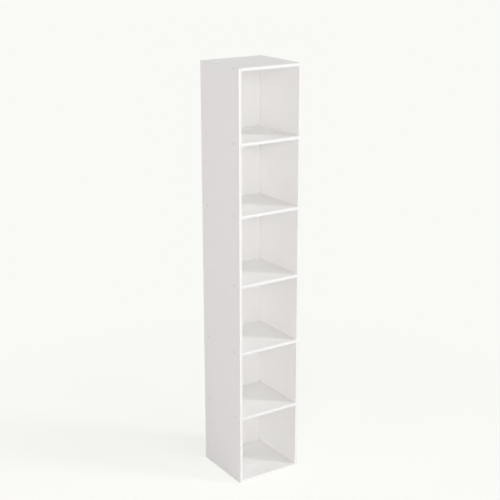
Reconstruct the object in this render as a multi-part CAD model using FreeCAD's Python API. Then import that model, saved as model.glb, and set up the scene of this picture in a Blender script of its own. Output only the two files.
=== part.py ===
"""Open cube storage tower of white-faced particle board.

Two full-height sides hold seven level boards between them, which makes one column of open cubes.
Each end of a level board is located by a wooden dowel and clamped by two countersunk screws
driven through the side. A thin back board stands in a groove that runs round the sides, the top
and the bottom. The edges that show from the front and from above carry a glued plastic band.

The origin is on the floor at the middle of the plan, +Z is up, the open front faces -Y and the
left side is at -X. All lengths are in millimetres.
"""

import FreeCAD, Part
import math
import os

Vector = FreeCAD.Vector

# Whole unit
CUBE_COUNT = 6
WIDTH = 300.0  # outside face to outside face of the two sides
DEPTH = 292.0  # front of the edge band to the rear edge of the sides
CUBE_HEIGHT = 285.0  # clear height from one level board to the next

# Boards
BOARD = 12.0  # particle board of the sides and of the level boards
EDGE_BREAK = 0.3  # small bevel on the long raw edges at the rear
EDGE_BAND = 0.8  # plastic band glued on the edges that show
BAND_ROUND = 0.5  # radius of the band's two long outer edges
BAND_ROUND_LIMIT = 0.9  # largest share of the band's thickness that the radius may take

# Back board and its groove
BACK_BOARD = 3.0
GROOVE_DEPTH = 5.0
GROOVE_LIP = 5.0  # board left behind the groove
GROOVE_PLAY = 0.2  # gap on each side of the back board in its groove
SHELF_GAP = 0.3  # gap from an inner shelf's rear edge to the back board

# Screws, two at each end of a level board
SCREW_INSET = 40.0  # screw axis to the front edge, and to the rear edge
SCREW_BITE = 33.0  # how far the point goes past the joint into the level board
SCREW_SINK = 0.3  # head below the outer face of the side
SCREW_HEAD_D = 8.0
SCREW_SHANK_D = 5.0  # plain shank for the thread, over its crests
SCREW_POINT = 4.0  # length of the tapered point
SCREW_TIP_D = 1.5
SCREW_PLAY = 0.1  # radial gap between a screw and its bore
BORE_SPARE = 2.0  # bore carried past the point of the screw

# Dowels, one at the middle of each end of a level board
DOWEL_D = 6.0
DOWEL_IN_LEVEL = 22.0  # how far a dowel goes past the joint into the level board
DOWEL_SKIN = 3.5  # board left between a dowel bore and the outer face of the side
DOWEL_BEVEL = 1.0
DOWEL_PLAY = 0.05  # radial gap between a dowel and its bore
DOWEL_SPARE = 0.5  # glue room at each end of a dowel

# Small rounds
ROUND_SIDES = 16  # flats round each fastener and its bore, which are too small to need more

# Places worked out from the sizes above
LEVEL_PITCH = CUBE_HEIGHT + BOARD
HEIGHT = CUBE_COUNT * LEVEL_PITCH + BOARD
HALF_WIDTH = WIDTH / 2
INNER_HALF = HALF_WIDTH - BOARD
FRONT = -DEPTH / 2
REAR = DEPTH / 2
CORE_FRONT = FRONT + EDGE_BAND
GROOVE_REAR = REAR - GROOVE_LIP
GROOVE_FRONT = GROOVE_REAR - BACK_BOARD - 2 * GROOVE_PLAY
BACK_FACE = GROOVE_FRONT + GROOVE_PLAY
SHELF_REAR = BACK_FACE - SHELF_GAP
SCREW_ROWS = (FRONT + SCREW_INSET, REAR - SCREW_INSET)
DOWEL_ROWS = ((FRONT + REAR) / 2,)
SCREW_END = BOARD + SCREW_BITE
LEFT = 1  # the way into the board from the left side's outer face is +X
RIGHT = -1
AXIS_X = Vector(1, 0, 0)
UP = Vector(0, 0, 1)


def flat_face(outline):
    """Flat face inside a closed outline of points."""
    return Part.Face(Part.makePolygon(outline + outline[:1]))


def prism(outline, travel):
    """Solid swept by a flat closed outline of points along one straight travel."""
    return flat_face(outline).extrude(travel)


def ring(x, radius):
    """Corners of a round section across the X axis, turned so that a flat faces up."""
    turns = [2 * math.pi * (side + 0.5) / ROUND_SIDES for side in range(ROUND_SIDES)]
    return [Vector(x, radius * math.cos(turn), radius * math.sin(turn)) for turn in turns]


def turned(stations):
    """Round solid about the X axis, in flats, from (distance, radius) stations along it."""
    rings = [ring(x, radius) for x, radius in stations]
    faces = [flat_face(rings[0]), flat_face(rings[-1])]
    for near, far in zip(rings, rings[1:]):
        for side in range(ROUND_SIDES):
            faces.append(flat_face([near[side - 1], near[side], far[side], far[side - 1]]))
    return Part.makeSolid(Part.makeShell(faces))


def from_side(shape, hand, y, z):
    """Copy of a shape made along +X, set to start on a side's outer face and run into the unit."""
    placed = shape.copy()
    if hand == RIGHT:
        placed.rotate(Vector(), UP, 180)
    placed.translate(Vector(-hand * HALF_WIDTH, y, z))
    return placed


def at_joints(shape, hands, rows, levels):
    """Copies of a shape at each joint of the given sides, rows and levels."""
    return [from_side(shape, hand, y, z) for hand in hands for z in levels for y in rows]


def screw():
    """Countersunk screw along +X, with a right-angled head, a plain shank and a tapered point."""
    head = SCREW_HEAD_D / 2
    shank = SCREW_SHANK_D / 2
    return turned(
        [
            (SCREW_SINK, head),
            (SCREW_SINK + head - shank, shank),
            (SCREW_END - SCREW_POINT, shank),
            (SCREW_END, SCREW_TIP_D / 2),
        ]
    )


def screw_bore():
    """Cutter for one screw: a countersink from the outer face, then one bore through the joint."""
    shank = SCREW_SHANK_D / 2 + SCREW_PLAY
    mouth = SCREW_HEAD_D / 2 + SCREW_PLAY + SCREW_SINK
    return turned([(0, mouth), (mouth - shank, shank), (SCREW_END + BORE_SPARE, shank)])


def dowel():
    """Bevelled wooden dowel along +X, across the joint between a side and a level board."""
    radius = DOWEL_D / 2
    start = DOWEL_SKIN + DOWEL_SPARE
    end = BOARD + DOWEL_IN_LEVEL
    return turned(
        [
            (start, radius - DOWEL_BEVEL),
            (start + DOWEL_BEVEL, radius),
            (end - DOWEL_BEVEL, radius),
            (end, radius - DOWEL_BEVEL),
        ]
    )


def dowel_bore():
    """Cutter for one dowel: a blind bore in the side that runs on into the level board."""
    radius = DOWEL_D / 2 + DOWEL_PLAY
    return turned([(DOWEL_SKIN, radius), (BOARD + DOWEL_IN_LEVEL + DOWEL_SPARE, radius)])


def bored(board, hands, levels):
    """A board with the screw and dowel bores of the given sides and levels cut from it."""
    cutters = at_joints(screw_bore(), hands, SCREW_ROWS, levels)
    cutters += at_joints(dowel_bore(), hands, DOWEL_ROWS, levels)
    return board.cut(cutters)


def side_panel(hand):
    """Full-height side: a grooved plan outline swept upwards, then bored for every level."""
    outer = -hand * HALF_WIDTH
    inner = -hand * INNER_HALF
    groove = inner - hand * GROOVE_DEPTH
    bevel = hand * EDGE_BREAK
    plan = [
        (outer, CORE_FRONT),
        (inner, CORE_FRONT),
        (inner, GROOVE_FRONT),
        (groove, GROOVE_FRONT),
        (groove, GROOVE_REAR),
        (inner, GROOVE_REAR),
        (inner, REAR - EDGE_BREAK),
        (inner - bevel, REAR),
        (outer + bevel, REAR),
        (outer, REAR - EDGE_BREAK),
    ]
    slab = prism([Vector(x, y, 0) for x, y in plan], Vector(0, 0, HEIGHT - EDGE_BAND))
    return bored(slab, [hand], level_centres())


def shelf(level):
    """Inner level board: a plain section swept across the unit, short of the back board."""
    low = level * LEVEL_PITCH
    high = low + BOARD
    section = [(CORE_FRONT, low), (SHELF_REAR, low), (SHELF_REAR, high), (CORE_FRONT, high)]
    return bored(across(section), [LEFT, RIGHT], [low + BOARD / 2])


def end_panel(level, inward):
    """Top or bottom board, full depth, with the back board's groove in the face that looks inward."""
    middle = level * LEVEL_PITCH + BOARD / 2
    face = middle + inward * BOARD / 2
    floor = face - inward * GROOVE_DEPTH
    far = middle - inward * BOARD / 2
    section = [
        (CORE_FRONT, far),
        (CORE_FRONT, face),
        (GROOVE_FRONT, face),
        (GROOVE_FRONT, floor),
        (GROOVE_REAR, floor),
        (GROOVE_REAR, face),
        (REAR - EDGE_BREAK, face),
        (REAR, face - inward * EDGE_BREAK),
        (REAR, far + inward * EDGE_BREAK),
        (REAR - EDGE_BREAK, far),
    ]
    return bored(across(section), [LEFT, RIGHT], [middle])


def across(section):
    """Solid with a (depth, height) section, between the inner faces of the two sides."""
    outline = [Vector(-INNER_HALF, y, z) for y, z in section]
    return prism(outline, Vector(2 * INNER_HALF, 0, 0))


def level_centres():
    """Height of the middle of each level board, from the bottom up."""
    return [level * LEVEL_PITCH + BOARD / 2 for level in range(CUBE_COUNT + 1)]


def edge_band(corner, across_edge, outward, run):
    """Band on one edge of a board, with its two outer long edges rounded.

    corner is where the glued face starts, across_edge is the board's thickness as a vector, outward
    is the band's thickness as a vector away from the board, and run is the length of the edge.
    """
    radius = min(BAND_ROUND, BAND_ROUND_LIMIT * EDGE_BAND)
    side = Vector(across_edge).normalize()
    out = Vector(outward).normalize()
    near = corner + outward
    far = near + across_edge
    bow = radius * (1 - math.cos(math.pi / 4))
    first = [near - out * radius, near - out * bow + side * bow, near + side * radius]
    second = [far - side * radius, far - out * bow - side * bow, far - out * radius]
    edges = [
        Part.LineSegment(corner, first[0]),
        Part.Arc(*first),
        Part.LineSegment(first[2], second[0]),
        Part.Arc(*second),
        Part.LineSegment(second[2], corner + across_edge),
        Part.LineSegment(corner + across_edge, corner),
    ]
    return Part.Face(Part.Wire([edge.toShape() for edge in edges])).extrude(run)


def side_front_band(hand):
    """Band on the front edge of a side, from the floor to the top."""
    corner = Vector(-hand * HALF_WIDTH, CORE_FRONT, 0)
    return edge_band(corner, Vector(hand * BOARD, 0, 0), Vector(0, -EDGE_BAND, 0), UP * HEIGHT)


def side_top_band(hand):
    """Band on the top edge of a side, from the front band to the rear."""
    corner = Vector(-hand * HALF_WIDTH, CORE_FRONT, HEIGHT - EDGE_BAND)
    run = Vector(0, REAR - CORE_FRONT, 0)
    return edge_band(corner, Vector(hand * BOARD, 0, 0), UP * EDGE_BAND, run)


def level_band(level):
    """Band on the front edge of a level board, between the two sides."""
    corner = Vector(-INNER_HALF, CORE_FRONT, level * LEVEL_PITCH)
    return edge_band(corner, UP * BOARD, Vector(0, -EDGE_BAND, 0), AXIS_X * 2 * INNER_HALF)


def back_board():
    """Thin back, standing on the floor of the bottom groove and held in the other three."""
    half = INNER_HALF + GROOVE_DEPTH - GROOVE_PLAY
    low = BOARD - GROOVE_DEPTH
    high = HEIGHT - BOARD + GROOVE_DEPTH - GROOVE_PLAY
    face = [Vector(x, BACK_FACE, z) for x, z in ((-half, low), (half, low), (half, high), (-half, high))]
    return prism(face, Vector(0, BACK_BOARD, 0))


def level_names():
    """Name of each level board, from the bottom up."""
    return ["bottom_panel"] + [f"shelf_{i}" for i in range(1, CUBE_COUNT)] + ["top_panel"]


def level_board(level):
    """The board at a level: the bottom, an inner shelf or the top."""
    if level == 0:
        return end_panel(level, 1)
    if level == CUBE_COUNT:
        return end_panel(level, -1)
    return shelf(level)


def all_parts():
    """Every piece by name, fasteners grouped by the level board that they hold."""
    parts = {"back_board": back_board()}
    for name, hand in (("left_side", LEFT), ("right_side", RIGHT)):
        parts[f"{name}_panel"] = side_panel(hand)
        parts[f"{name}_front_band"] = side_front_band(hand)
        parts[f"{name}_top_band"] = side_top_band(hand)
    for level, name in enumerate(level_names()):
        here = [level_centres()[level]]
        parts[name] = level_board(level)
        parts[f"{name}_front_band"] = level_band(level)
        parts[f"{name}_screws"] = Part.makeCompound(at_joints(screw(), [LEFT, RIGHT], SCREW_ROWS, here))
        parts[f"{name}_dowels"] = Part.makeCompound(at_joints(dowel(), [LEFT, RIGHT], DOWEL_ROWS, here))
    return parts


os.makedirs("parts", exist_ok=True)
for part_name, part_shape in all_parts().items():
    part_shape.exportStep(f"parts/{part_name}.step")
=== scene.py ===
"""White cube storage tower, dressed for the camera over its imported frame.

The boards, the back, the screws and the dowels are rebuilt here in the places that the frame gives,
with softened edges, round bores, threads and flutes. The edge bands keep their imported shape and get
their finish here. Lengths are in metres, +Z is up and the open front faces -Y.
"""

import logging
import math
from collections.abc import Callable, Mapping, Sequence
from dataclasses import dataclass
from enum import Enum
from functools import partial
from typing import Any

import bmesh
import bpy
from mathutils import Matrix, Vector


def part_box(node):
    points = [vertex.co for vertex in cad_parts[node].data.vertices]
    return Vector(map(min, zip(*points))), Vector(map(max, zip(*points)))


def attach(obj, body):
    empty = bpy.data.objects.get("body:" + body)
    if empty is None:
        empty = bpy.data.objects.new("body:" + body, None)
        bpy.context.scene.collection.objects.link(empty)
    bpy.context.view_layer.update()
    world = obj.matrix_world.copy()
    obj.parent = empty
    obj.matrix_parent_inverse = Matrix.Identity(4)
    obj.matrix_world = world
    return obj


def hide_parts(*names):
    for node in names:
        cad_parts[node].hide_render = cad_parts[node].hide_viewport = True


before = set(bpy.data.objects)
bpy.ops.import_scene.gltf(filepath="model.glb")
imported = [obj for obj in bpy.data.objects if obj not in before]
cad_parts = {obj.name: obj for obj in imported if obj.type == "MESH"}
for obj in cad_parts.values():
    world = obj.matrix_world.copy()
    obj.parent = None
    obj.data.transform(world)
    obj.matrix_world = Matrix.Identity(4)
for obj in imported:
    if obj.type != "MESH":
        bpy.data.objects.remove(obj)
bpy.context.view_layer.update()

Tree = bpy.types.NodeTree
Node = bpy.types.Node
Add = Callable[..., Node]
Source = Node | bpy.types.NodeSocket
Piece = bpy.types.Object
Shape = bmesh.types.BMesh
Span = tuple[float, float]

LOG = logging.getLogger("cube_tower")
MM = 0.001
BODY = "root"


class Axis(Enum):
    """A direction of the shared frame."""

    X = (1.0, 0.0, 0.0)
    Y = (0.0, 1.0, 0.0)
    Z = (0.0, 0.0, 1.0)


class Hand(Enum):
    """Which of the two sides a board is, by the sign of its place along X."""

    LEFT = -1
    RIGHT = 1


class Slot(Enum):
    """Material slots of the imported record."""

    BOARD = "white_melamine_board"
    BACK = "white_hardboard"
    SCREW = "zinc_steel"
    DOWEL = "beech"


def linear(hex_colour: str) -> tuple[float, float, float, float]:
    """Turn an sRGB hex colour into the linear colour that shaders take.

    Args:
        hex_colour: Colour as "#RRGGBB".

    Returns:
        Linear red, green and blue, with an alpha of 1.
    """
    values = [int(hex_colour[i : i + 2], 16) / 255 for i in (1, 3, 5)]
    red, green, blue = (v / 12.92 if v <= 0.04045 else ((v + 0.055) / 1.055) ** 2.4 for v in values)
    return red, green, blue, 1.0


def add_node(tree: Tree, kind: str, inputs: Mapping[str | int, Any] | None = None, **settings: Any) -> Node:
    """Add one node with its settings and its links.

    Args:
        tree: Shader or geometry tree that takes the node.
        kind: Blender's type name for the node.
        inputs: A value, a source or a list of sources for each input, by name or index. A source is an
            output socket, or a node that stands for its first output in use.
        settings: Values of the node's own properties, by name.

    Returns:
        The new node.
    """
    node = tree.nodes.new(kind)
    for name, value in settings.items():
        setattr(node, name, value)
    for key, value in (inputs or {}).items():
        for source in value if isinstance(value, list) else [value]:
            if isinstance(source, Node):
                source = next(socket for socket in source.outputs if socket.enabled)
            if isinstance(source, bpy.types.NodeSocket):
                tree.links.new(source, node.inputs[key])
            else:
                node.inputs[key].default_value = source
    return node


@dataclass(frozen=True)
class Finish:
    """A surface finish that makes its own material, once."""

    name: str

    def material(self) -> bpy.types.Material:
        """Give the finish's material, made the first time that it is asked for.

        Returns:
            The material of this finish.
        """
        made = bpy.data.materials.get(self.name)
        if made is None:
            made = bpy.data.materials.new(self.name)
            made.use_nodes = True
            made.node_tree.nodes.clear()
            add = partial(add_node, made.node_tree)
            add("ShaderNodeOutputMaterial", {"Surface": self.surface(add)})
        return made

    def surface(self, add: Add) -> Node:
        """Build the finish's shader with a function that adds nodes to its material."""
        raise NotImplementedError


@dataclass(frozen=True)
class Pattern:
    """A soft random pattern of a real size, even all round or drawn out one way."""

    width: float
    length: float | None = None
    detail: float = 2.0

    def lay(self, add: Add, place: Source, run: Axis = Axis.Z) -> Node:
        """Lay the pattern on a surface.

        Args:
            add: Adds a node to the material.
            place: Coordinates on the piece.
            run: Axis that a drawn-out pattern follows.

        Returns:
            The pattern, with values from 0 to 1.
        """
        scale = 1 / self.width
        if self.length is not None:
            stretch = tuple(1 / (self.length if along else self.width) for along in run.value)
            place = add("ShaderNodeMapping", {"Vector": place, "Scale": stretch})
            scale = 1.0
        return add("ShaderNodeTexNoise", {"Vector": place, "Scale": scale, "Detail": self.detail})


@dataclass(frozen=True)
class TwoToneFinish(Finish):
    """A finish of two tones, with a fine grain that breaks up its gloss and gives it relief.

    A cloud mixes the tones where there is one, and otherwise the grain does.
    """

    tones: tuple[str, str] = ("#FFFFFF", "#F0F0F0")
    tone_span: Span = (0.0, 1.0)
    cloud: Pattern | None = None
    grain: Pattern = Pattern(1 * MM)
    run: Axis = Axis.Z
    gloss: Span = (0.5, 0.5)
    relief: float = 0.0
    relief_strength: float = 0.5
    ior: float = 1.5
    metallic: float = 0.0

    def surface(self, add: Add) -> Node:
        """Build mixed tones under a fine relief.

        Args:
            add: Adds a node to the material.

        Returns:
            The shader.
        """
        place = add("ShaderNodeTexCoord").outputs["Object"]
        grain = self.grain.lay(add, place, self.run)
        share = self.cloud.lay(add, place) if self.cloud else grain
        low, high = self.tone_span
        if (low, high) != TwoToneFinish.tone_span:
            share = add("ShaderNodeMapRange", {"Value": share, 1: low, 2: high})
        first, second = (linear(tone) for tone in self.tones)
        colour = add("ShaderNodeMix", {0: share, 6: first, 7: second}, data_type="RGBA")
        smooth, rough = self.gloss
        coat = {"Base Color": colour, "Roughness": smooth, "IOR": self.ior, "Metallic": self.metallic}
        if rough > smooth:
            coat["Roughness"] = add("ShaderNodeMapRange", {"Value": grain, 3: smooth, 4: rough})
        if self.relief:
            heights = {"Height": grain, "Distance": self.relief, "Strength": self.relief_strength}
            coat["Normal"] = add("ShaderNodeBump", heights)
        return add("ShaderNodeBsdfPrincipled", coat)


@dataclass(frozen=True)
class MelaminePaper(TwoToneFinish):
    """White melamine paper pressed on a board by a textured plate.

    The resin gives an even satin white. The plate leaves short fine pores along the grain, which break
    up the gloss, and the chips below show through as a very faint cloudiness.
    """

    tones: tuple[str, str] = ("#F7F7F6", "#F4F4F3")
    cloud: Pattern | None = Pattern(70 * MM, detail=3.0)
    # Real pores are about 0.4 mm wide, drawn twice as wide so that they show from close by.
    grain: Pattern = Pattern(0.8 * MM, length=14 * MM)
    gloss: Span = (0.36, 0.48)
    relief: float = 0.05 * MM
    relief_strength: float = 0.6


@dataclass(frozen=True)
class EdgeBandPvc(TwoToneFinish):
    """White PVC band, extruded, glued on by a hot roller and scraped flush.

    It is about as white as the paper beside it and a little glossier, with faint lines along its length
    from the scraper.
    """

    tones: tuple[str, str] = ("#F4F4F3", "#F0F0EF")
    grain: Pattern = Pattern(0.9 * MM, length=160 * MM, detail=1.0)
    gloss: Span = (0.28, 0.38)
    relief: float = 0.01 * MM
    ior: float = 1.53


@dataclass(frozen=True)
class HardboardPaint(TwoToneFinish):
    """White lacquered face of thin hardboard, rolled on.

    It is flatter and a touch greyer than the melamine, with the roller's soft stipple.
    """

    tones: tuple[str, str] = ("#F5F5F4", "#F2F2F1")
    cloud: Pattern | None = Pattern(90 * MM)
    # Real stipple is about 0.6 mm, drawn a little coarser so that it shows from close by.
    grain: Pattern = Pattern(1.1 * MM, detail=1.0)
    gloss: Span = (0.52, 0.52)
    relief: float = 0.02 * MM


@dataclass(frozen=True)
class ZincPlate(TwoToneFinish):
    """Cold-headed steel with bright zinc plating.

    The plating is a cool grey metal, slightly cloudy, and the clouds blur its shine.
    """

    tones: tuple[str, str] = ("#D2D4D6", "#BEC1C4")
    grain: Pattern = Pattern(1.6 * MM, detail=3.0)
    gloss: Span = (0.26, 0.42)
    metallic: float = 1.0


@dataclass(frozen=True)
class HeadLacquer(TwoToneFinish):
    """White lacquer, sprayed and baked on a screw's head to match the board.

    A thin even white with a soft gloss and a slight orange peel, thinner and greyer in patches.
    """

    tones: tuple[str, str] = ("#EFEFED", "#E2E3E2")
    grain: Pattern = Pattern(0.9 * MM)
    gloss: Span = (0.3, 0.4)
    relief: float = 0.02 * MM


@dataclass(frozen=True)
class TurnedBeech(TwoToneFinish):
    """Beech rod, turned, fluted and cut to length.

    Pale pinkish brown with short darker flecks along the grain, and a dull dry surface.
    """

    tones: tuple[str, str] = ("#D2AC80", "#A97C50")
    tone_span: Span = (0.45, 0.7)
    grain: Pattern = Pattern(0.25 * MM, length=2.5 * MM)
    run: Axis = Axis.X
    gloss: Span = (0.68, 0.68)
    relief: float = 0.03 * MM
    relief_strength: float = 1.0


@dataclass(frozen=True)
class ParticleBoardCore(Finish):
    """Sawn edge of three-layer particle board.

    Flakes of many wood tones lie flat in the board, with dark gaps between them, and are coarse in the
    middle and fine near the faces.
    """

    faces: Axis = Axis.X
    middle: float = 0.0
    period: float = 1.0
    half_board: float = 6 * MM
    tones: tuple[str, str, str] = ("#9A744A", "#C6A06C", "#E2C79D")
    gap_tone: str = "#5A4028"
    coarse_flake: float = 3.2 * MM
    fine_flake: float = 0.9 * MM
    flatness: float = 2.6
    layer_change: Span = (0.35, 0.75)
    gap_share: float = 0.07
    pit_depth: float = 0.25 * MM
    roughness: float = 0.85
    ior: float = 1.5

    def surface(self, add: Add) -> Node:
        """Build coarse flakes in the middle of the board that turn to fine ones near its faces.

        Args:
            add: Adds a node to the material.

        Returns:
            The shader.
        """
        place = add("ShaderNodeTexCoord").outputs["Object"]
        squash = tuple(self.flatness if across else 1.0 for across in self.faces.value)
        flat = add("ShaderNodeMapping", {"Vector": place, "Scale": squash})
        parts = add("ShaderNodeSeparateXYZ", {0: place})
        away = parts.outputs[self.faces.value.index(1.0)]
        # Boards stand a period apart, so any place is folded to its distance from the nearest middle.
        half = self.period / 2
        folds = (("SUBTRACT", self.middle - half), ("FLOORED_MODULO", self.period), ("SUBTRACT", half))
        for operation, amount in folds:
            away = add("ShaderNodeMath", {0: away, 1: amount}, operation=operation)
        depth = add("ShaderNodeMath", {0: away}, operation="ABSOLUTE")
        inner, outer = (share * self.half_board for share in self.layer_change)
        change = {"Value": depth, 1: inner, 2: outer}
        layer = add("ShaderNodeMapRange", change, interpolation_type="SMOOTHSTEP")
        coarse, coarse_gap = self.flakes(add, flat, self.coarse_flake)
        fine, fine_gap = self.flakes(add, flat, self.fine_flake)
        flakes = add("ShaderNodeMix", {0: layer, 6: coarse, 7: fine}, data_type="RGBA")
        gap = add("ShaderNodeMix", {0: layer, 2: coarse_gap, 3: fine_gap})
        dark = linear(self.gap_tone)
        colour = add("ShaderNodeMix", {0: gap, 6: dark, 7: flakes}, data_type="RGBA")
        bump = add("ShaderNodeBump", {"Height": gap, "Distance": self.pit_depth})
        coat = {"Base Color": colour, "Roughness": self.roughness, "Normal": bump, "IOR": self.ior}
        return add("ShaderNodeBsdfPrincipled", coat)

    def flakes(self, add: Add, place: Source, size: float) -> tuple[Node, Node]:
        """Lay out one size of flake.

        Args:
            add: Adds a node to the material.
            place: Coordinates, squashed across the board.
            size: Length of a flake.

        Returns:
            The flakes' colour, and a height that drops to 0 in the gaps between them.
        """
        layout = {"Vector": place, "Scale": 1 / size}
        cells = add("ShaderNodeTexVoronoi", layout)
        edges = add("ShaderNodeTexVoronoi", layout, feature="DISTANCE_TO_EDGE")
        chance = add("ShaderNodeSeparateColor", {0: cells.outputs["Color"]}).outputs
        dark, middle, pale = (linear(tone) for tone in self.tones)
        low = add("ShaderNodeMix", {0: chance[0], 6: dark, 7: middle}, data_type="RGBA")
        colour = add("ShaderNodeMix", {0: chance[1], 6: low, 7: pale}, data_type="RGBA")
        return colour, add("ShaderNodeMapRange", {"Value": edges, 1: 0.0, 2: self.gap_share})


@dataclass(frozen=True)
class BareHardboard(Finish):
    """Unpainted rear of thin hardboard, pressed from wood fibre.

    Short fibres of two browns lie every way, with darker flecks of bark, on a dull hard skin.
    """

    fibre_tones: tuple[str, str] = ("#8B6B49", "#A98A63")
    fleck_tone: str = "#5E452D"
    fibre: Pattern = Pattern(0.7 * MM, length=7 * MM)
    fibre_span: Span = (0.12, 0.4)
    blotch: Pattern = Pattern(45 * MM, detail=4.0)
    blotch_share: float = 0.45
    fleck: Pattern = Pattern(3 * MM)
    fleck_span: Span = (0.66, 0.74)
    fleck_strength: float = 0.6
    relief: float = 0.05 * MM
    relief_strength: float = 0.7
    roughness: float = 0.7
    ior: float = 1.5

    def surface(self, add: Add) -> Node:
        """Build mottled brown with crossed fibres and scattered dark flecks.

        Args:
            add: Adds a node to the material.

        Returns:
            The shader.
        """
        place = add("ShaderNodeTexCoord").outputs["Object"]
        upright, level = (self.fibre.lay(add, place, run) for run in (Axis.Z, Axis.X))
        crossed = add("ShaderNodeMath", {0: upright, 1: level}, operation="MULTIPLY")
        low, high = self.fibre_span
        fibres = add("ShaderNodeMapRange", {"Value": crossed, 1: low, 2: high})
        blotch = self.blotch.lay(add, place)
        mottle = add("ShaderNodeMix", {0: self.blotch_share, 2: fibres, 3: blotch})
        dark, pale = (linear(tone) for tone in self.fibre_tones)
        browns = add("ShaderNodeMix", {0: mottle, 6: dark, 7: pale}, data_type="RGBA")
        low, high = self.fleck_span
        flecks = {"Value": self.fleck.lay(add, place), 1: low, 2: high, 4: self.fleck_strength}
        bark = add("ShaderNodeMapRange", flecks)
        mix = {0: bark, 6: browns, 7: linear(self.fleck_tone)}
        colour = add("ShaderNodeMix", mix, data_type="RGBA")
        heights = {"Height": fibres, "Distance": self.relief, "Strength": self.relief_strength}
        bump = add("ShaderNodeBump", heights)
        coat = {"Base Color": colour, "Roughness": self.roughness, "Normal": bump, "IOR": self.ior}
        return add("ShaderNodeBsdfPrincipled", coat)


@dataclass(frozen=True)
class StudioPaper(Finish):
    """Seamless white paper under the object.

    To the eye it is an even near-white that keeps the object's soft shadow, and as a reflector it gives
    back a little less light, as matt paper does.
    """

    tint: str = "#F9FAF6"
    bounce_tint: str = "#EBEBEB"
    glow: float = 0.765
    shadow_share: float = 0.31
    shadow_reach: Span = (0.7, 2.0)

    def surface(self, add: Add) -> Node:
        """Build paper that is white where it is seen and matt where it only reflects.

        Args:
            add: Adds a node to the material.

        Returns:
            The shader.
        """
        white = linear(self.tint)
        shade = (*(part * self.shadow_share for part in white[:3]), 1.0)
        glow = add("ShaderNodeEmission", {"Color": white, "Strength": self.glow})
        shadowed = add("ShaderNodeBsdfDiffuse", {"Color": shade})
        near = add("ShaderNodeAddShader", {0: glow, 1: shadowed})
        far = add("ShaderNodeEmission", {"Color": white, "Strength": 1.0})
        # Past the reach of the shadow the paper is even, however the lamps' light falls off.
        place = add("ShaderNodeTexCoord").outputs["Object"]
        away = add("ShaderNodeVectorMath", {0: place}, operation="LENGTH")
        start, end = self.shadow_reach
        reach = {"Value": away, 1: start, 2: end}
        fade = add("ShaderNodeMapRange", reach, interpolation_type="SMOOTHSTEP")
        shown = add("ShaderNodeMixShader", {0: fade, 1: near, 2: far})
        bounce = add("ShaderNodeBsdfDiffuse", {"Color": linear(self.bounce_tint)})
        return add("ShaderNodeMixShader", {0: seen_rays(add), 1: bounce, 2: shown})


def seen_rays(add: Add) -> Node:
    """Tell the rays that show a backdrop, directly or in metal or glass, from those that light with it.

    Args:
        add: Adds a node to the material or the world.

    Returns:
        A value that is 1 for a ray that shows the backdrop and 0 for any other.
    """
    path = add("ShaderNodeLightPath").outputs
    seen = path["Is Camera Ray"]
    for kind in ("Is Glossy Ray", "Is Transmission Ray"):
        seen = add("ShaderNodeMath", {0: seen, 1: path[kind]}, operation="MAXIMUM")
    return seen


class ShapeTree:
    """A geometry node tree with named inputs, which is run on an object and leaves a plain mesh."""

    def __init__(self, name: str, inputs: Mapping[str, str]) -> None:
        """Start a tree that takes and gives geometry.

        Args:
            name: Name of the tree.
            inputs: Kind of each named input, such as Float, Int, Vector or Material.
        """
        self.tree = bpy.data.node_groups.new(name, "GeometryNodeTree")
        add_socket = self.tree.interface.new_socket
        for end in ("INPUT", "OUTPUT"):
            add_socket(name="Geometry", in_out=end, socket_type="NodeSocketGeometry")
        self.identifiers = {
            label: add_socket(name=label, in_out="INPUT", socket_type=f"NodeSocket{kind}").identifier
            for label, kind in inputs.items()
        }
        self.add = partial(add_node, self.tree)
        self.given = self.add("NodeGroupInput").outputs

    def dress(self, shape: Source, where: Source) -> None:
        """End the tree in real geometry with its two finishes.

        Args:
            shape: Geometry to dress.
            where: Tells the faces that take the second finish.
        """
        shape = self.add("GeometryNodeRealizeInstances", {0: shape})
        for finish, faces in (("First Finish", True), ("Second Finish", where)):
            coat = {"Geometry": shape, "Selection": faces, "Material": self.given[finish]}
            shape = self.add("GeometryNodeSetMaterial", coat)
        self.add("NodeGroupOutput", {0: shape})

    def run(self, piece: Piece, values: Mapping[str, Any]) -> None:
        """Run the tree on an object and keep the result as the object's plain mesh.

        Args:
            piece: Object whose mesh goes in.
            values: A value for each named input.
        """
        modifier = piece.modifiers.new(self.tree.name, "NODES")
        modifier.node_group = self.tree
        for name, value in values.items():
            modifier[self.identifiers[name]] = value
        piece.update_tag()
        depsgraph = bpy.context.evaluated_depsgraph_get()
        mesh = bpy.data.meshes.new_from_object(piece.evaluated_get(depsgraph), depsgraph=depsgraph)
        piece.modifiers.remove(modifier)
        blank = piece.data
        piece.data = mesh
        bpy.data.meshes.remove(blank)
        mesh.name = piece.name


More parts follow.
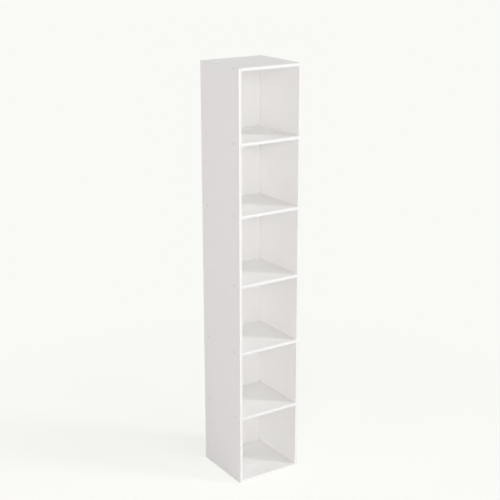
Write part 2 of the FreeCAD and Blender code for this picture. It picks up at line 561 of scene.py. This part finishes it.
@dataclass(frozen=True)
class TowerPlan:
    """Sizes and places of the boards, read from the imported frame."""

    half_width: float
    board: float
    core_front: float
    rear: float
    side_height: float
    level_nodes: tuple[str, ...]
    level_bases: tuple[float, ...]
    back_low: Vector
    back_high: Vector

    @classmethod
    def from_frame(cls) -> "TowerPlan":
        """Read the plan.

        Returns:
            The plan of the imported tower.
        """
        low, high = (Vector(corner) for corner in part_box("left_side_panel"))
        back_low, back_high = (Vector(corner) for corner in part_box("back_board"))
        shelves = [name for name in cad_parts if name.removeprefix("shelf_").isdigit()]
        names = ("bottom_panel", *sorted(shelves), "top_panel")
        return cls(
            half_width=-low.x,
            board=high.x - low.x,
            core_front=low.y,
            rear=high.y,
            side_height=high.z,
            level_nodes=names,
            level_bases=tuple(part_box(name)[0][2] for name in names),
            back_low=back_low,
            back_high=back_high,
        )

    @property
    def inner_half(self) -> float:
        """Half the clear width between the sides."""
        return self.half_width - self.board

    @property
    def pitch(self) -> float:
        """Height from one level board to the next."""
        return self.level_bases[1] - self.level_bases[0]

    @property
    def level_middles(self) -> tuple[float, ...]:
        """Height of the middle of each level board."""
        return tuple(base + self.board / 2 for base in self.level_bases)


SPOT_INPUTS = {
    "Row Spacing": "Float",
    "Levels": "Int",
    "Level Pitch": "Float",
    "Middle Height": "Float",
    "Half Width": "Float",
}
FINISH_INPUTS = {"First Finish": "Material", "Second Finish": "Material"}
BORE_ROWS = {"Countersink": 2, "Screw Bore": 2, "Dowel Bore": 1}
BORE_SIZES = ("Start", "Length", "Mouth Radius", "End Radius")
# A face whose normal has less than this along the board's axis is an edge or a bore.
EDGE_COSINE = 0.5
# Edges stay sharp from this angle on, and faces of this area or more are shaded flat.
SHARP_FROM = math.radians(32)
FLAT_AREA = 100 * MM * MM


@dataclass(frozen=True)
class BoardJoint:
    """Sizes of the screws, the dowel and their bores at the end of a level board."""

    plan: TowerPlan
    head_radius: float = 4.0 * MM
    head_sink: float = 0.3 * MM
    crest_radius: float = 2.5 * MM
    screw_play: float = 0.1 * MM
    screw_bite: float = 33 * MM
    bore_spare: float = 2 * MM
    dowel_radius: float = 3.0 * MM
    dowel_play: float = 0.05 * MM
    dowel_skin: float = 3.5 * MM
    dowel_spare: float = 0.5 * MM
    dowel_bite: float = 22 * MM
    cutter_lead: float = 1 * MM
    bore_sides: int = 48

    @property
    def screw_row(self) -> float:
        """Distance of each screw row from the middle of the depth."""
        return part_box("shelf_1_screws")[1][1] - self.head_radius

    @property
    def screw_end(self) -> float:
        """Distance of a screw's point from the side's outer face."""
        return self.plan.board + self.screw_bite

    @property
    def dowel_span(self) -> Span:
        """Distances of a dowel's two ends from the side's outer face."""
        return self.dowel_skin + self.dowel_spare, self.plan.board + self.dowel_bite

    def spots(self, levels: Sequence[float]) -> dict[str, Any]:
        """Say where the joints at some levels are.

        Args:
            levels: Heights of the board ends, evenly spaced.

        Returns:
            Values for the joint grid's named inputs.
        """
        return {
            "Row Spacing": 2 * self.screw_row,
            "Levels": len(levels),
            "Level Pitch": self.plan.pitch,
            "Middle Height": (levels[0] + levels[-1]) / 2,
            "Half Width": self.plan.half_width,
        }

    def bores(self) -> dict[str, float]:
        """Size the cutters of the bores.

        Returns:
            Values for the bored board's named inputs.
        """
        lead = self.cutter_lead
        bore = self.crest_radius + self.screw_play
        mouth = self.head_radius + self.screw_play + self.head_sink + lead
        dowel = self.dowel_radius + self.dowel_play
        dowel_length = self.dowel_span[1] + self.dowel_spare - self.dowel_skin
        cutters = {
            "Countersink": (-lead, mouth - bore, mouth, bore),
            "Screw Bore": (-lead, self.screw_end + self.bore_spare + lead, bore, bore),
            "Dowel Bore": (self.dowel_skin, dowel_length, dowel, dowel),
        }
        return {
            f"{name} {size}": value
            for name, values in cutters.items()
            for size, value in zip(BORE_SIZES, values)
        }


def joint_grid_tree() -> Tree:
    """Build the tree that sets copies of a shape at the board joints of both sides.

    Returns:
        A tree that takes a shape made along +X from the outer face of the left side.
    """
    graph = ShapeTree("joint_grid", {"Rows": "Int"} | SPOT_INPUTS)
    add, given = graph.add, graph.given
    gaps = add("ShaderNodeMath", {0: given["Levels"], 1: 1.0}, operation="SUBTRACT")
    tall = add("ShaderNodeMath", {0: gaps, 1: given["Level Pitch"]}, operation="MULTIPLY")
    size = {"Size X": given["Row Spacing"], "Size Y": tall}
    counts = {"Vertices X": given["Rows"], "Vertices Y": given["Levels"]}
    grid = add("GeometryNodeMeshGrid", size | counts)
    flat = add("GeometryNodeInputPosition")
    parts = add("ShaderNodeSeparateXYZ", {0: flat}).outputs
    height = add("ShaderNodeMath", {0: parts[1], 1: given["Middle Height"]}, operation="ADD")
    outside = add("ShaderNodeMath", {0: given["Half Width"], 1: -1.0}, operation="MULTIPLY")
    upright = add("ShaderNodeCombineXYZ", {0: outside, 1: parts[0], 2: height})
    points = add("GeometryNodeSetPosition", {"Geometry": grid, "Position": upright})
    copies = {"Points": points, "Instance": given["Geometry"]}
    left = add("GeometryNodeInstanceOnPoints", copies)
    half_turn = {"Geometry": left, "Rotation": (0.0, 0.0, math.pi)}
    right = add("GeometryNodeTransform", half_turn)
    both = add("GeometryNodeJoinGeometry", {0: [left, right]})
    add("NodeGroupOutput", {0: both})
    return graph.tree


def fastener_tree(grid: Tree) -> ShapeTree:
    """Build the tree that turns one fastener into the whole set.

    Args:
        grid: The joint grid's tree.

    Returns:
        The tree, which takes one fastener and gives all, with the second finish on their heads.
    """
    graph = ShapeTree("fastener_set", {"Rows": "Int", "Head Depth": "Float"} | SPOT_INPUTS | FINISH_INPUTS)
    add, given = graph.add, graph.given
    spots = {name: given[name] for name in ("Geometry", "Rows", *SPOT_INPUTS)}
    placed = add("GeometryNodeGroup", spots, node_tree=grid)
    place = add("GeometryNodeInputPosition")
    parts = add("ShaderNodeSeparateXYZ", {0: place}).outputs
    away = add("ShaderNodeMath", {0: parts[0]}, operation="ABSOLUTE")
    below = add("ShaderNodeMath", {0: given["Half Width"], 1: away}, operation="SUBTRACT")
    on_head = add("ShaderNodeMath", {0: below, 1: given["Head Depth"]}, operation="LESS_THAN")
    graph.dress(placed, on_head)
    return graph


def bored_board_tree(grid: Tree) -> ShapeTree:
    """Build the tree that drills a board for its fasteners and tells its faces from its core.

    Args:
        grid: The joint grid's tree.

    Returns:
        The tree, which takes a plain board and gives a bored one, with the second finish on its core.
    """
    board = {"Bore Sides": "Int", "Face Axis": "Vector", "Board Centre": "Vector", "Skin Depth": "Float"}
    bores = {f"{name} {size}": "Float" for name in BORE_ROWS for size in BORE_SIZES}
    graph = ShapeTree("bored_board", SPOT_INPUTS | board | bores | FINISH_INPUTS)
    add, given = graph.add, graph.given
    cutters = []
    for name, rows in BORE_ROWS.items():
        start, length, mouth, end = (given[f"{name} {size}"] for size in BORE_SIZES)
        cone = {"Vertices": given["Bore Sides"], "Radius Top": end, "Radius Bottom": mouth, "Depth": length}
        cutter = add("GeometryNodeMeshCone", cone)
        shift = add("ShaderNodeCombineXYZ", {0: start})
        turn = {"Geometry": cutter, "Translation": shift, "Rotation": (0.0, math.pi / 2, 0.0)}
        along = add("GeometryNodeTransform", turn)
        spots = {"Geometry": along, "Rows": rows} | {spot: given[spot] for spot in SPOT_INPUTS}
        placed = add("GeometryNodeGroup", spots, node_tree=grid)
        cutters.append(add("GeometryNodeRealizeInstances", {0: placed}))
    cut = {"Mesh 1": given["Geometry"], "Mesh 2": cutters}
    drilled = add("GeometryNodeMeshBoolean", cut, operation="DIFFERENCE", solver="EXACT")
    # The core shows where a face turns from the board's axis, or lies deeper than the paper.
    normal = add("GeometryNodeInputNormal")
    place = add("GeometryNodeInputPosition")
    from_centre = {0: place, 1: given["Board Centre"]}
    offset = add("ShaderNodeVectorMath", from_centre, operation="SUBTRACT")
    tests = []
    for measure, limit in ((normal, EDGE_COSINE), (offset, given["Skin Depth"])):
        pair = {0: measure, 1: given["Face Axis"]}
        along = add("ShaderNodeVectorMath", pair, operation="DOT_PRODUCT")
        away = add("ShaderNodeMath", {0: along}, operation="ABSOLUTE")
        tests.append(add("ShaderNodeMath", {0: away, 1: limit}, operation="LESS_THAN"))
    bare = add("ShaderNodeMath", dict(enumerate(tests)), operation="MAXIMUM")
    graph.dress(drilled, bare)
    return graph


def new_piece(name: str, shape: Shape) -> Piece:
    """Put a shape into the scene as an object at the origin.

    Args:
        name: Name of the piece.
        shape: Its shape, in place, which is used up.

    Returns:
        The new object.
    """
    mesh = bpy.data.meshes.new(name)
    shape.to_mesh(mesh)
    shape.free()
    piece = bpy.data.objects.new(name, mesh)
    bpy.context.scene.collection.objects.link(piece)
    return piece


def hand_over(piece: Piece, nodes: Sequence[str]) -> Piece:
    """Shade a piece, fix it to the tower's body and let it stand for its CAD nodes.

    Args:
        piece: The built piece.
        nodes: CAD nodes that it stands for.

    Returns:
        The same piece.
    """
    mesh = piece.data
    mesh.shade_smooth()
    mesh.set_sharp_from_angle(angle=SHARP_FROM)
    for face in mesh.polygons:
        face.use_smooth = face.area < FLAT_AREA
    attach(piece, BODY)
    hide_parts(*nodes)
    return piece


def softened_prism(outline: Sequence[Vector], travel: Vector, softening: float) -> Shape:
    """Sweep an outline along a straight line and soften the outer edges.

    Args:
        outline: Corners of a flat outline, in order.
        travel: How far and which way it is swept.
        softening: Width of the rounding on each outer edge.

    Returns:
        A closed shape.
    """
    shape = bmesh.new()
    join_rings(shape, (outline, [point + travel for point in outline]))
    outer = [edge for edge in shape.edges if edge.is_convex]
    bmesh.ops.bevel(shape, geom=outer, offset=softening, segments=2, profile=0.5, affect="EDGES")
    return shape


def half_steps(count: int) -> list[float]:
    """Give evenly spaced angles round a circle, from half a step on."""
    return [math.tau * (step + 0.5) / count for step in range(count)]


def around_x(x: float, radius: float, turn: float) -> Vector:
    """Give the point at a distance along X, with a radius and an angle about it."""
    return Vector((x, radius * math.cos(turn), radius * math.sin(turn)))


def join_rings(shape: Shape, rings: Sequence[Sequence[Vector]]) -> None:
    """Build a closed solid from a row of rings.

    Args:
        shape: Shape under construction that takes the solid.
        rings: Corners of each ring, from end to end, the same count in each.
    """
    rows = [[shape.verts.new(corner) for corner in ring] for ring in rings]
    shape.faces.new(rows[0])
    shape.faces.new(reversed(rows[-1]))
    for near, far in zip(rows, rows[1:]):
        for i in range(len(near)):
            shape.faces.new((near[i - 1], far[i - 1], far[i], near[i]))
    bmesh.ops.recalc_face_normals(shape, faces=shape.faces)


@dataclass
class BoardSet:
    """Boards of the tower that lie one way."""

    joint: BoardJoint
    tree: ShapeTree
    softening: float = 0.25 * MM
    skin: float = 0.5 * MM
    groove_play: float = 0.2 * MM

    def grooved(self, far: float, face: float, floor: float) -> list[Span]:
        """Draw a board's section with the back's groove in one face.

        Args:
            far: Place of the plain face across the board.
            face: Place of the grooved face.
            floor: Place of the groove's floor.

        Returns:
            Corners of the section, by their places across the board and along the tower's depth.
        """
        plan = self.joint.plan
        front = plan.back_low.y - self.groove_play
        rear = plan.back_high.y + self.groove_play
        groove = [(face, front), (floor, front), (floor, rear), (face, rear)]
        before = [(far, plan.core_front), (face, plan.core_front)]
        return [*before, *groove, (face, plan.rear), (far, plan.rear)]

    def make(
        self,
        node: str,
        outline: Sequence[Vector],
        travel: Vector,
        levels: Sequence[float],
        paper: MelaminePaper,
        core: ParticleBoardCore,
    ) -> Piece:
        """Sweep, soften, drill and dress one board.

        Args:
            node: CAD node that it stands for.
            outline: Corners of its section.
            travel: How far and which way the section is swept.
            levels: Heights of the joints that meet it.
            paper: Finish of its two faces.
            core: Finish of its bare edges and bores.

        Returns:
            The finished board.
        """
        name = node.replace("_panel", "_board").replace("shelf_", "shelf_board_")
        piece = new_piece(name, softened_prism(outline, travel, self.softening))
        low, high = (Vector(corner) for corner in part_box(node))
        values = {
            "Bore Sides": self.joint.bore_sides,
            "Face Axis": core.faces.value,
            "Board Centre": tuple((low + high) / 2),
            "Skin Depth": self.joint.plan.board / 2 - self.skin,
            "First Finish": paper.material(),
            "Second Finish": core.material(),
        }
        self.tree.run(piece, self.joint.spots(levels) | self.joint.bores() | values)
        return hand_over(piece, [node])


@dataclass
class SidePair(BoardSet):
    """The two full-height sides, each with the back's groove up its inner face."""

    def outline(self, hand: Hand) -> list[Vector]:
        """Draw a side's plan.

        Args:
            hand: Which side it is.

        Returns:
            Corners of the plan, on the floor.
        """
        plan = self.joint.plan
        places = (plan.half_width, plan.inner_half, plan.back_high.x + self.groove_play)
        return [Vector((hand.value * x, y, 0.0)) for x, y in self.grooved(*places)]

    def build(self) -> list[Piece]:
        """Build both sides.

        Returns:
            The left and right side.
        """
        plan = self.joint.plan
        half = plan.board / 2
        middle = plan.half_width - half
        paper = MelaminePaper("white_melamine_upright", run=Axis.Z)
        core = ParticleBoardCore(
            "particle_board_side_edges", faces=Axis.X, middle=middle, period=2 * middle, half_board=half
        )
        travel = Vector((0.0, 0.0, plan.side_height))
        sides = []
        for hand in Hand:
            node = f"{hand.name.lower()}_side_panel"
            sides.append(self.make(node, self.outline(hand), travel, plan.level_middles, paper, core))
        return sides


@dataclass
class LevelStack(BoardSet):
    """The bottom, the shelves and the top, all between the sides."""

    def outline(self, node: str, low: float) -> list[Vector]:
        """Draw a level board's section.

        Args:
            node: Its CAD node.
            low: Height of its underside.

        Returns:
            Corners of the section, at the left end of the board.
        """
        plan = self.joint.plan
        high = low + plan.board
        if node == plan.level_nodes[0]:
            corners = self.grooved(low, high, plan.back_low.z)
        elif node == plan.level_nodes[-1]:
            corners = self.grooved(high, low, plan.back_high.z + self.groove_play)
        else:
            front, rear = plan.core_front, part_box(node)[1][1]
            corners = [(low, front), (low, rear), (high, rear), (high, front)]
        return [Vector((-plan.inner_half, y, z)) for z, y in corners]

    def build(self) -> list[Piece]:
        """Build every level board.

        Returns:
            The boards from the bottom up.
        """
        plan = self.joint.plan
        half = plan.board / 2
        paper = MelaminePaper("white_melamine_level", run=Axis.X)
        core = ParticleBoardCore(
            "particle_board_level_edges", faces=Axis.Z, middle=half, period=plan.pitch, half_board=half
        )
        travel = Vector((2 * plan.inner_half, 0.0, 0.0))
        boards = []
        for node, base in zip(plan.level_nodes, plan.level_bases):
            boards.append(self.make(node, self.outline(node, base), travel, [base + half], paper, core))
        return boards


@dataclass
class BackSheet:
    """The thin back, lacquered in front and bare behind."""

    plan: TowerPlan
    softening: float = 0.3 * MM
    front_cosine: float = 0.9

    def build(self) -> Piece:
        """Build and dress the back.

        Returns:
            The back sheet.
        """
        low, high = self.plan.back_low, self.plan.back_high
        corners = ((low.x, low.z), (high.x, low.z), (high.x, high.z), (low.x, high.z))
        outline = [Vector((x, low.y, z)) for x, z in corners]
        travel = Vector((0.0, high.y - low.y, 0.0))
        piece = new_piece("back_sheet", softened_prism(outline, travel, self.softening))
        for finish in (HardboardPaint("white_hardboard_lacquer"), BareHardboard("brown_hardboard_rear")):
            piece.data.materials.append(finish.material())
        for face in piece.data.polygons:
            face.material_index = 0 if -face.normal.y > self.front_cosine else 1
        return hand_over(piece, ["back_board"])


@dataclass
class EdgeBands:
    """The glued bands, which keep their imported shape."""

    ending: str = "_band"

    def dress(self) -> list[Piece]:
        """Give every band the finish that runs along it.

        Returns:
            The dressed bands.
        """
        bands = [node for name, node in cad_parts.items() if name.endswith(self.ending)]
        for band in bands:
            low, high = (Vector(corner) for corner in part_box(band.name))
            size = high - low
            run = list(Axis)[max(range(3), key=lambda i: size[i])]
            finish = EdgeBandPvc(f"white_pvc_band_{run.name.lower()}", run=run)
            for slot in band.material_slots:
                slot.link = "OBJECT"
                slot.material = finish.material()
        return bands


@dataclass
class FastenerSet:
    """One kind of fastener, made along +X and set at every board joint."""

    joint: BoardJoint
    tree: ShapeTree

    def set_out(self, name: str, shape: Shape, kind: str, slot: Slot, values: Mapping[str, Any]) -> Piece:
        """Set copies of a fastener at the joints, as one piece.

        Args:
            name: Name of the piece.
            shape: The fastener, from the side's outer face inwards.
            kind: Ending of the names of the CAD nodes that the piece stands for.
            slot: The record's material slot. It is not used.
            values: The tree's other inputs, which are rows, finishes and the depth of a head.

        Returns:
            All the fasteners as one piece.
        """
        plan = self.joint.plan
        piece = new_piece(name, shape)
        self.tree.run(piece, self.joint.spots(plan.level_middles) | values)
        return hand_over(piece, [f"{node}_{kind}" for node in plan.level_nodes])


@dataclass
class ScrewSet(FastenerSet):
    """Countersunk screws with a cross recess, a white head and a coarse thread, two at each board end."""

    sides: int = 48
    rim: float = 0.25 * MM
    core_radius: float = 1.75 * MM
    neck_radius: float = 2.2 * MM
    neck_over: float = 1 * MM
    tip_radius: float = 0.3 * MM
    point: float = 5 * MM
    recess_span: float = 4.2 * MM
    recess_blade: float = 1.15 * MM
    recess_depth: float = 2.0 * MM
    recess_taper: float = 0.45
    head_depth: float = 2.5 * MM
    thread_over: float = 2 * MM
    thread_pitch: float = 2.2 * MM
    thread_sink: float = 0.3 * MM
    thread_root: float = 0.32
    thread_steps: int = 16

    def recess(self, share: float, turn: float) -> float:
        """Give the reach of the cross recess at one angle.

        Args:
            share: Share of its full size.
            turn: Angle about the screw.

        Returns:
            The recess's radius there.
        """
        arm = share * self.recess_span / 2
        blade = share * self.recess_blade / 2
        across, up = abs(math.cos(turn)), abs(math.sin(turn))
        return max(min(arm / across, blade / up), min(blade / across, arm / up))

    def add_blank(self, shape: Shape) -> None:
        """Build the headed blank, from the floor of its recess to its point.

        Args:
            shape: Shape under construction.
        """
        joint = self.joint
        face = joint.head_sink
        neck_end = joint.plan.board + self.neck_over
        end = joint.screw_end
        recess = ((face + self.recess_depth, self.recess_taper), (face, 1.0))
        body = (
            (face, joint.head_radius - self.rim),
            (face + self.rim, joint.head_radius),
            (face + joint.head_radius - self.neck_radius, self.neck_radius),
            (neck_end, self.neck_radius),
            (neck_end + self.rim, self.core_radius),
            (end - self.point, self.core_radius),
            (end, self.tip_radius),
        )
        turns = half_steps(self.sides)
        rings = [[around_x(x, self.recess(share, turn), turn) for turn in turns] for x, share in recess]
        rings += [[around_x(x, radius, turn) for turn in turns] for x, radius in body]
        join_rings(shape, rings)

    def add_thread(self, shape: Shape) -> None:
        """Wind the thread's ridge round the shank, faded out at both ends.

        Args:
            shape: Shape under construction.
        """
        joint = self.joint
        start = joint.plan.board + self.thread_over
        end = joint.screw_end - self.point / 2
        steps = round((end - start) / self.thread_pitch * self.thread_steps)
        sunk = self.core_radius - self.thread_sink
        half_root = self.thread_root * self.thread_pitch
        rings = []
        for step in range(steps + 1):
            turn = math.tau * step / self.thread_steps
            x = start + (end - start) * step / steps
            fade = min(1.0, step / self.thread_steps, (steps - step) / self.thread_steps)
            crest = sunk + fade * (joint.crest_radius - sunk)
            profile = ((x - half_root, sunk), (x, crest), (x + half_root, sunk))
            rings.append([around_x(along, radius, turn) for along, radius in profile])
        join_rings(shape, rings)

    def build(self) -> Piece:
        """Build one screw and set it at every joint.

        Returns:
            All the screws as one piece.
        """
        shape = bmesh.new()
        self.add_blank(shape)
        self.add_thread(shape)
        values = {
            "Rows": BORE_ROWS["Screw Bore"],
            "Head Depth": self.head_depth,
            "First Finish": ZincPlate("zinc_plated_steel").material(),
            "Second Finish": HeadLacquer("white_baked_lacquer").material(),
        }
        return self.set_out("countersunk_screws", shape, "screws", Slot.SCREW, values)


@dataclass
class DowelSet(FastenerSet):
    """Fluted beech dowels, one at the middle of each board end."""

    flutes: int = 18
    flute_depth: float = 0.3 * MM
    flute_corners: int = 4
    bevel: float = 1 * MM

    def radius(self, inset: float, turn: float) -> float:
        """Give the fluted radius at one angle, drawn in by an inset."""
        flute = self.flute_depth / 2 * (1 + math.cos(self.flutes * turn))
        return self.joint.dowel_radius - inset - flute

    def build(self) -> Piece:
        """Build one dowel and set it at every joint.

        Returns:
            All the dowels as one piece.
        """
        start, end = self.joint.dowel_span
        inner = (start + self.bevel, end - self.bevel)
        stations = ((start, self.bevel), (inner[0], 0.0), (inner[1], 0.0), (end, self.bevel))
        turns = half_steps(self.flute_corners * self.flutes)
        shape = bmesh.new()
        rings = [[around_x(x, self.radius(inset, turn), turn) for turn in turns] for x, inset in stations]
        join_rings(shape, rings)
        finish = TurnedBeech("turned_beech").material()
        values = {"Rows": BORE_ROWS["Dowel Bore"], "First Finish": finish, "Second Finish": finish}
        return self.set_out("fluted_dowels", shape, "dowels", Slot.DOWEL, values)


def heading(turn: float, rise: float) -> Vector:
    """Give the direction at an angle from +Y towards +X and an angle above the level, in degrees."""
    sideways, up = math.radians(turn), math.radians(rise)
    return Vector((math.sin(sideways) * math.cos(up), math.cos(sideways) * math.cos(up), math.sin(up)))


@dataclass(frozen=True)
class SoftLamp:
    """A broad studio lamp, placed by the angles in degrees at which the tower sees it."""

    name: str
    level: float
    left_of_front: float
    above_level: float
    apparent_width: float
    distance: float | None = None
    aim_height: float = 0.9
    tint: str = "#FFFFFF"

    def build(self) -> None:
        """Hang the lamp, as a disk at its distance or, with none given, as even light from far away."""
        lamp = bpy.data.lights.new(self.name, "SUN" if self.distance is None else "AREA")
        lamp.color = linear(self.tint)[:3]
        holder = bpy.data.objects.new(self.name, lamp)
        towards = heading(self.left_of_front, -self.above_level)
        width = math.radians(self.apparent_width)
        # A matt white surface that faces the lamp renders at the lamp's level.
        if self.distance is None:
            lamp.angle = width
            lamp.energy = math.pi * self.level
        else:
            lamp.shape = "DISK"
            lamp.size = 2 * self.distance * math.tan(width / 2)
            lamp.energy = (math.pi * self.distance) ** 2 * self.level
            holder.location = Vector((0.0, 0.0, self.aim_height)) - self.distance * towards
        holder.rotation_euler = towards.to_track_quat("-Z", "Y").to_euler()
        bpy.context.scene.collection.objects.link(holder)


LAMPS = (
    SoftLamp("key_lamp", 0.24, -45, 48, 10),
    SoftLamp("front_softbox", 0.295, 35, 12, 28, distance=10.0, tint="#FFFAFA"),
    SoftLamp("fill_softbox", 0.19, -15, 15, 28, distance=10.0),
    SoftLamp("left_softbox", 0.06, 90, 15, 30, distance=3.5, aim_height=1.3),
)


@dataclass
class Studio:
    """White paper floor, even light with four soft lamps, and the photograph's viewpoint."""

    floor_half: float = 60.0
    paper: StudioPaper = StudioPaper("white_studio_paper")
    sky_tint: str = "#FFFAFA"
    sky_strength: float = 0.44
    lamps: tuple[SoftLamp, ...] = LAMPS
    diffuse_bounces: int = 12
    camera_place: tuple[float, float, float] = (-2.4374, -3.7537, 2.3834)
    camera_yaw: float = 32.949
    camera_pitch: float = -17.202
    camera_roll: float = -0.078
    lens: float = 79.39
    sensor_width: float = 36.0

    def add_floor(self) -> None:
        """Lay the paper that the tower stands on."""
        shape = bmesh.new()
        bmesh.ops.create_grid(shape, x_segments=1, y_segments=1, size=self.floor_half)
        floor = new_piece("studio_floor", shape)
        floor.data.materials.append(self.paper.material())

    def add_sky(self) -> None:
        """Surround the scene with even light, and show the paper's white behind it."""
        world = bpy.data.worlds.new("studio_sky")
        world.use_nodes = True
        world.node_tree.nodes.clear()
        add = partial(add_node, world.node_tree)
        lit = {"Color": linear(self.sky_tint), "Strength": self.sky_strength}
        shown = {"Color": linear(self.paper.tint), "Strength": 1.0}
        light, backdrop = (add("ShaderNodeBackground", look) for look in (lit, shown))
        mixed = add("ShaderNodeMixShader", {0: seen_rays(add), 1: light, 2: backdrop})
        add("ShaderNodeOutputWorld", {"Surface": mixed})
        bpy.context.scene.world = world

    def add_camera(self) -> None:
        """Stand the camera where the photograph was taken from."""
        camera = bpy.data.cameras.new("photo_camera")
        camera.sensor_width = self.sensor_width
        camera.lens = self.lens
        holder = bpy.data.objects.new("photo_camera", camera)
        ahead = heading(self.camera_yaw, self.camera_pitch)
        right = heading(self.camera_yaw + 90, 0.0)
        turn = Matrix((right, right.cross(ahead), -ahead)).transposed()
        roll = Matrix.Rotation(math.radians(self.camera_roll), 3, "Z")
        holder.matrix_world = Matrix.Translation(self.camera_place) @ (turn @ roll).to_4x4()
        bpy.context.scene.collection.objects.link(holder)
        bpy.context.scene.camera = holder

    def build(self) -> None:
        """Set up the floor, the light and the camera."""
        self.add_floor()
        self.add_sky()
        for lamp in self.lamps:
            lamp.build()
        self.add_camera()
        # White boards trade light many times inside each cube.
        bpy.context.scene.cycles.diffuse_bounces = self.diffuse_bounces
        bpy.context.scene.view_settings.view_transform = "Standard"


def main() -> None:
    """Build the tower and its studio, and report each piece."""
    plan = TowerPlan.from_frame()
    joint = BoardJoint(plan)
    grid = joint_grid_tree()
    bored = bored_board_tree(grid)
    fasteners = fastener_tree(grid)
    pieces = [
        *SidePair(joint, bored).build(),
        *LevelStack(joint, bored).build(),
        BackSheet(plan).build(),
        *EdgeBands().dress(),
        ScrewSet(joint, fasteners).build(),
        DowelSet(joint, fasteners).build(),
    ]
    for piece in pieces:
        LOG.info("%s: %d faces", piece.name, len(piece.data.polygons))
    Studio().build()


if __name__ == "__main__":
    logging.basicConfig(level=logging.INFO, format="%(message)s")
    main()
